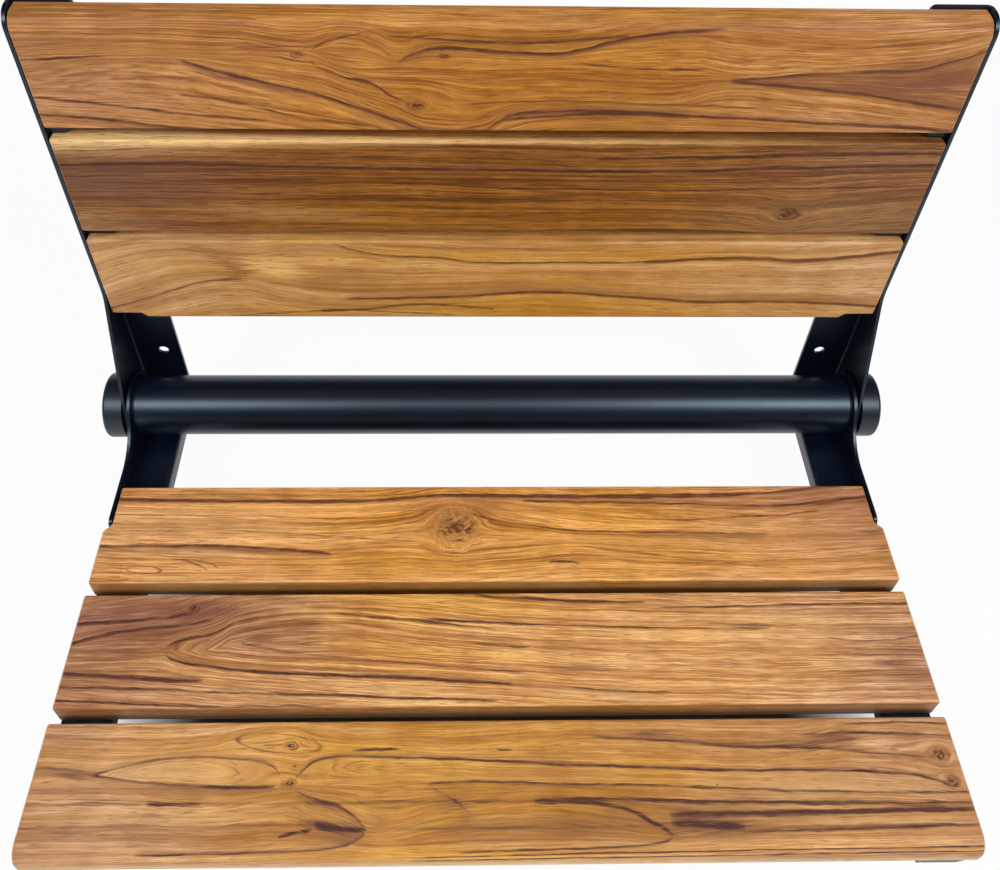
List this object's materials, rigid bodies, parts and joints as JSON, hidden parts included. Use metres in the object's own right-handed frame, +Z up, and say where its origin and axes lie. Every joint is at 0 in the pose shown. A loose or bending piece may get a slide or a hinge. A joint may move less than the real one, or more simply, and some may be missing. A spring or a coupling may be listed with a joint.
{
  "type": "folding shower seat",
  "caption": "Wall-hung folding shower seat: teak slats as seat and backrest on black steel brackets and arms, the seat swinging up about a cross tube.",
  "frame": {"origin": "centre of the four wall holes, on the wall plane", "axes": "+X along the slats to the user's right as they face the wall, +Y into the wall, +Z up"},
  "size_m": [0.6488, 0.3845, 0.4523],
  "materials": {
    "teak": "oiled, straight grain",
    "black_coat": "satin black powder coat",
    "cap_plastic": "satin black",
    "nylon": "plain",
    "steel": "plain stainless",
    "rubber": "matt"
  },
  "bodies": {
    "wall_frame": {"top_back_slat": "teak", "middle_back_slat": "teak", "bottom_back_slat": "teak", "back_slat_screws": "steel", "left_wall_bracket": "black_coat", "right_wall_bracket": "black_coat", "left_axle_bush": "nylon", "right_axle_bush": "nylon", "left_thrust_washer": "nylon", "right_thrust_washer": "nylon", "left_end_cap": "cap_plastic", "right_end_cap": "cap_plastic"},
    "seat": {"rear_seat_slat": "teak", "middle_seat_slat": "teak", "front_seat_slat": "teak", "hinge_tube": "black_coat", "seat_slat_screws": "steel", "arm_screws": "steel", "retaining_screws": "steel", "left_tube_plug": "black_coat", "right_tube_plug": "black_coat", "left_stub_axle": "steel", "right_stub_axle": "steel", "left_retaining_washer": "steel", "right_retaining_washer": "steel", "left_seat_arm": "black_coat", "right_seat_arm": "black_coat", "left_heel_bumper": "rubber", "right_heel_bumper": "rubber"}
  },
  "joints": [
    {"name": "seat_fold", "type": "hinge", "parent": "wall_frame", "child": "seat", "pos_m": [0, -0.0383, 0.0203], "axis": [-1, 0, 0], "range_deg": [0, 93]}
  ]
}
